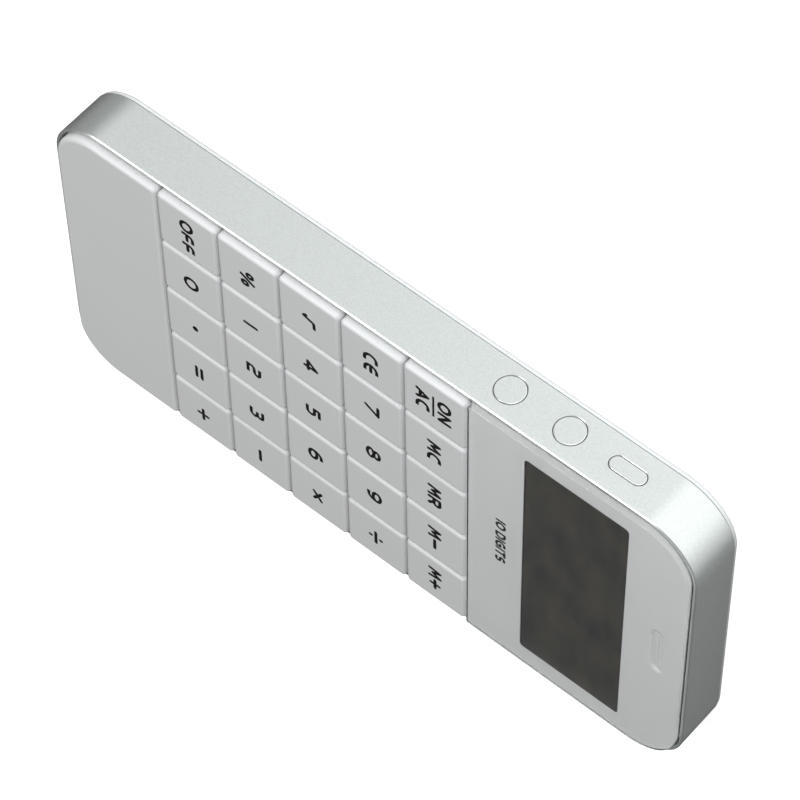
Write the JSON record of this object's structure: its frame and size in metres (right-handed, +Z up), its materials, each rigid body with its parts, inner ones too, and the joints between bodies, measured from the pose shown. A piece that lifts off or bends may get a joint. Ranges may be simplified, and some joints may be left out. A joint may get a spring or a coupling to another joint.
{
  "type": "pocket calculator",
  "caption": "Slim phone-shaped pocket calculator: white push keys in a grid, blank chin panel, clear display lens, silver edge band and a slide-off battery door.",
  "frame": {"origin": "middle of the bottom of the calculator's box, on the back cover's outer face", "axes": "+Z up out of the keys; +Y along the length towards the display; +X across the width, away from the side controls"},
  "size_m": [0.0586, 0.1152, 0.0103],
  "materials": {
    "silver_paint": "fine metallic silver paint, satin, on moulded plastic",
    "white_shell": "glossy white moulding",
    "white_key": "satin white moulding with printed black legends",
    "chassis_white": "plain white moulding",
    "clear_acrylic": "clear, polished, printed white behind",
    "display_glass": "dark grey, switched off",
    "reflector_white": "matt white film",
    "silicone": "matt grey silicone",
    "connector_rubber": "matt dark grey",
    "board_laminate": "green solder mask",
    "black_epoxy": "black, slightly glossy",
    "bare_steel": "nickel plated",
    "contact_steel": "nickel plated spring strip"
  },
  "bodies": {
    "root": {"middle_frame": "silver_paint", "back_cover": "white_shell", "front_chassis": "chassis_white", "display_lens": "clear_acrylic", "chin_panel": "white_key", "keypad_membrane": "silicone", "circuit_board": "board_laminate", "chip_blob": "black_epoxy", "capacitor": "bare_steel", "lcd_glass": "display_glass", "lcd_reflector": "reflector_white", "lcd_holder": "chassis_white", "zebra_strip": "connector_rubber", "button_cell": "bare_steel", "positive_contact": "contact_steel", "negative_contact": "contact_steel", "case_screw_1": "bare_steel", "board_screw_1": "bare_steel", "case_screw_2": "bare_steel", "board_screw_2": "bare_steel", "case_screw_3": "bare_steel", "board_screw_3": "bare_steel", "case_screw_4": "bare_steel", "board_screw_4": "bare_steel"},
    "battery_door": {"battery_door": "white_shell"},
    "key_off": {"key_off": "white_key"},
    "key_0": {"key_0": "white_key"},
    "key_point": {"key_point": "white_key"},
    "key_equals": {"key_equals": "white_key"},
    "key_plus": {"key_plus": "white_key"},
    "key_percent": {"key_percent": "white_key"},
    "key_1": {"key_1": "white_key"},
    "key_2": {"key_2": "white_key"},
    "key_3": {"key_3": "white_key"},
    "key_minus": {"key_minus": "white_key"},
    "key_root": {"key_root": "white_key"},
    "key_4": {"key_4": "white_key"},
    "key_5": {"key_5": "white_key"},
    "key_6": {"key_6": "white_key"},
    "key_multiply": {"key_multiply": "white_key"},
    "key_ce": {"key_ce": "white_key"},
    "key_7": {"key_7": "white_key"},
    "key_8": {"key_8": "white_key"},
    "key_9": {"key_9": "white_key"},
    "key_divide": {"key_divide": "white_key"},
    "key_on": {"key_on": "white_key"},
    "key_mc": {"key_mc": "white_key"},
    "key_mr": {"key_mr": "white_key"},
    "key_m_minus": {"key_m_minus": "white_key"},
    "key_m_plus": {"key_m_plus": "white_key"},
    "side_button_lower": {"side_button_lower": "silver_paint"},
    "side_button_upper": {"side_button_upper": "silver_paint"},
    "side_button_long": {"side_button_long": "silver_paint"}
  },
  "joints": [
    {"name": "battery_door_slide", "type": "slide", "parent": "root", "child": "battery_door", "axis": [0, -1, 0], "range_m": [0, 0.032]},
    {"name": "key_off_press", "type": "slide", "parent": "root", "child": "key_off", "axis": [0, 0, -1], "range_m": [0, 0.0007], "stiffness_N_per_m": 800},
    {"name": "key_0_press", "type": "slide", "parent": "root", "child": "key_0", "axis": [0, 0, -1], "range_m": [0, 0.0007], "stiffness_N_per_m": 800},
    {"name": "key_point_press", "type": "slide", "parent": "root", "child": "key_point", "axis": [0, 0, -1], "range_m": [0, 0.0007], "stiffness_N_per_m": 800},
    {"name": "key_equals_press", "type": "slide", "parent": "root", "child": "key_equals", "axis": [0, 0, -1], "range_m": [0, 0.0007], "stiffness_N_per_m": 800},
    {"name": "key_plus_press", "type": "slide", "parent": "root", "child": "key_plus", "axis": [0, 0, -1], "range_m": [0, 0.0007], "stiffness_N_per_m": 800},
    {"name": "key_percent_press", "type": "slide", "parent": "root", "child": "key_percent", "axis": [0, 0, -1], "range_m": [0, 0.0007], "stiffness_N_per_m": 800},
    {"name": "key_1_press", "type": "slide", "parent": "root", "child": "key_1", "axis": [0, 0, -1], "range_m": [0, 0.0007], "stiffness_N_per_m": 800},
    {"name": "key_2_press", "type": "slide", "parent": "root", "child": "key_2", "axis": [0, 0, -1], "range_m": [0, 0.0007], "stiffness_N_per_m": 800},
    {"name": "key_3_press", "type": "slide", "parent": "root", "child": "key_3", "axis": [0, 0, -1], "range_m": [0, 0.0007], "stiffness_N_per_m": 800},
    {"name": "key_minus_press", "type": "slide", "parent": "root", "child": "key_minus", "axis": [0, 0, -1], "range_m": [0, 0.0007], "stiffness_N_per_m": 800},
    {"name": "key_root_press", "type": "slide", "parent": "root", "child": "key_root", "axis": [0, 0, -1], "range_m": [0, 0.0007], "stiffness_N_per_m": 800},
    {"name": "key_4_press", "type": "slide", "parent": "root", "child": "key_4", "axis": [0, 0, -1], "range_m": [0, 0.0007], "stiffness_N_per_m": 800},
    {"name": "key_5_press", "type": "slide", "parent": "root", "child": "key_5", "axis": [0, 0, -1], "range_m": [0, 0.0007], "stiffness_N_per_m": 800},
    {"name": "key_6_press", "type": "slide", "parent": "root", "child": "key_6", "axis": [0, 0, -1], "range_m": [0, 0.0007], "stiffness_N_per_m": 800},
    {"name": "key_multiply_press", "type": "slide", "parent": "root", "child": "key_multiply", "axis": [0, 0, -1], "range_m": [0, 0.0007], "stiffness_N_per_m": 800},
    {"name": "key_ce_press", "type": "slide", "parent": "root", "child": "key_ce", "axis": [0, 0, -1], "range_m": [0, 0.0007], "stiffness_N_per_m": 800},
    {"name": "key_7_press", "type": "slide", "parent": "root", "child": "key_7", "axis": [0, 0, -1], "range_m": [0, 0.0007], "stiffness_N_per_m": 800},
    {"name": "key_8_press", "type": "slide", "parent": "root", "child": "key_8", "axis": [0, 0, -1], "range_m": [0, 0.0007], "stiffness_N_per_m": 800},
    {"name": "key_9_press", "type": "slide", "parent": "root", "child": "key_9", "axis": [0, 0, -1], "range_m": [0, 0.0007], "stiffness_N_per_m": 800},
    {"name": "key_divide_press", "type": "slide", "parent": "root", "child": "key_divide", "axis": [0, 0, -1], "range_m": [0, 0.0007], "stiffness_N_per_m": 800},
    {"name": "key_on_press", "type": "slide", "parent": "root", "child": "key_on", "axis": [0, 0, -1], "range_m": [0, 0.0007], "stiffness_N_per_m": 800},
    {"name": "key_mc_press", "type": "slide", "parent": "root", "child": "key_mc", "axis": [0, 0, -1], "range_m": [0, 0.0007], "stiffness_N_per_m": 800},
    {"name": "key_mr_press", "type": "slide", "parent": "root", "child": "key_mr", "axis": [0, 0, -1], "range_m": [0, 0.0007], "stiffness_N_per_m": 800},
    {"name": "key_m_minus_press", "type": "slide", "parent": "root", "child": "key_m_minus", "axis": [0, 0, -1], "range_m": [0, 0.0007], "stiffness_N_per_m": 800},
    {"name": "key_m_plus_press", "type": "slide", "parent": "root", "child": "key_m_plus", "axis": [0, 0, -1], "range_m": [0, 0.0007], "stiffness_N_per_m": 800},
    {"name": "side_button_lower_press", "type": "slide", "parent": "root", "child": "side_button_lower", "axis": [1, 0, 0], "range_m": [0, 0.0003], "stiffness_N_per_m": 800},
    {"name": "side_button_upper_press", "type": "slide", "parent": "root", "child": "side_button_upper", "axis": [1, 0, 0], "range_m": [0, 0.0003], "stiffness_N_per_m": 800},
    {"name": "side_button_long_press", "type": "slide", "parent": "root", "child": "side_button_long", "axis": [1, 0, 0], "range_m": [0, 0.0003], "stiffness_N_per_m": 800}
  ]
}
